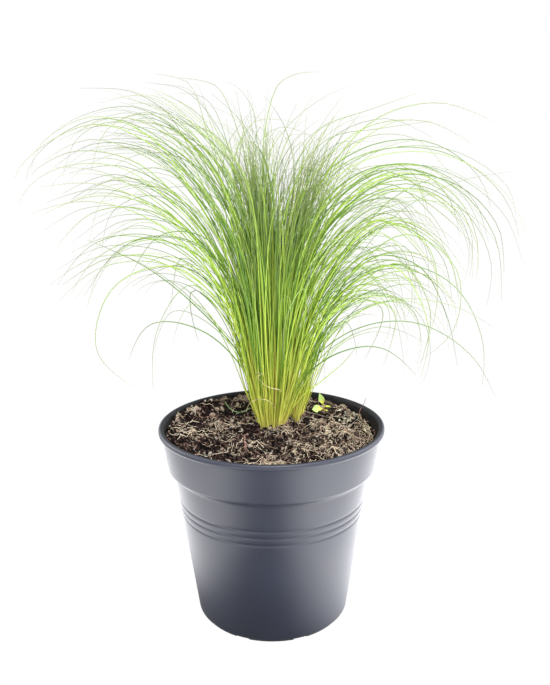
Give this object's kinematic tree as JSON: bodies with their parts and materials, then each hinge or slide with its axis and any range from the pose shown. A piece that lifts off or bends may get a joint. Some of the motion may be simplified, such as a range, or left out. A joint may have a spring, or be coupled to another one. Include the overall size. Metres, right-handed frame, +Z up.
{
  "type": "potted ornamental grass",
  "caption": "Clump of fine, arching feather grass growing in a tapered round nursery pot with a wide collar, filled with potting compost",
  "frame": {"origin": "centre of the pot's foot, on the surface that it stands on", "axes": "+Z up, -Y the side that faces the viewer in the picture, +X to the viewer's right"},
  "size_m": [0.3769, 0.263, 0.4396],
  "materials": {
    "pot_plastic": "satin",
    "compost": "matte",
    "grass": "satin",
    "seedling": "satin",
    "seedling_leaf": "satin"
  },
  "bodies": {
    "root": {"pot": "pot_plastic", "soil": "compost", "grass_sheaf_01": "grass", "grass_sheaf_02": "grass", "grass_sheaf_03": "grass", "grass_sheaf_04": "grass", "grass_sheaf_05": "grass", "grass_sheaf_06": "grass", "grass_sheaf_07": "grass", "grass_sheaf_08": "grass", "grass_sheaf_09": "grass", "grass_sheaf_10": "grass", "grass_sheaf_11": "grass", "grass_sheaf_12": "grass", "grass_sheaf_13": "grass", "grass_sheaf_14": "grass", "grass_sheaf_15": "grass", "grass_sheaf_16": "grass", "grass_sheaf_17": "grass", "grass_sheaf_18": "grass", "grass_sheaf_19": "grass", "grass_sheaf_20": "grass", "grass_sheaf_21": "grass", "grass_sheaf_22": "grass", "grass_sheaf_23": "grass", "grass_sheaf_24": "grass", "grass_sheaf_25": "grass", "grass_sheaf_26": "grass", "grass_sheaf_27": "grass", "grass_sheaf_28": "grass", "grass_sheaf_29": "grass", "grass_sheaf_30": "grass", "grass_sheaf_31": "grass", "grass_sheaf_32": "grass", "grass_sheaf_33": "grass", "grass_sheaf_34": "grass", "grass_sheaf_35": "grass", "grass_sheaf_36": "grass", "grass_sheaf_37": "grass", "grass_sheaf_38": "grass", "grass_sheaf_39": "grass", "grass_sheaf_40": "grass", "grass_sheaf_41": "grass", "grass_sheaf_42": "grass", "seedling_stem": "seedling", "seedling_leaf_1": "seedling_leaf", "seedling_leaf_2": "seedling_leaf", "seedling_cotyledon_1": "seedling", "seedling_cotyledon_2": "seedling"}
  },
  "joints": []
}
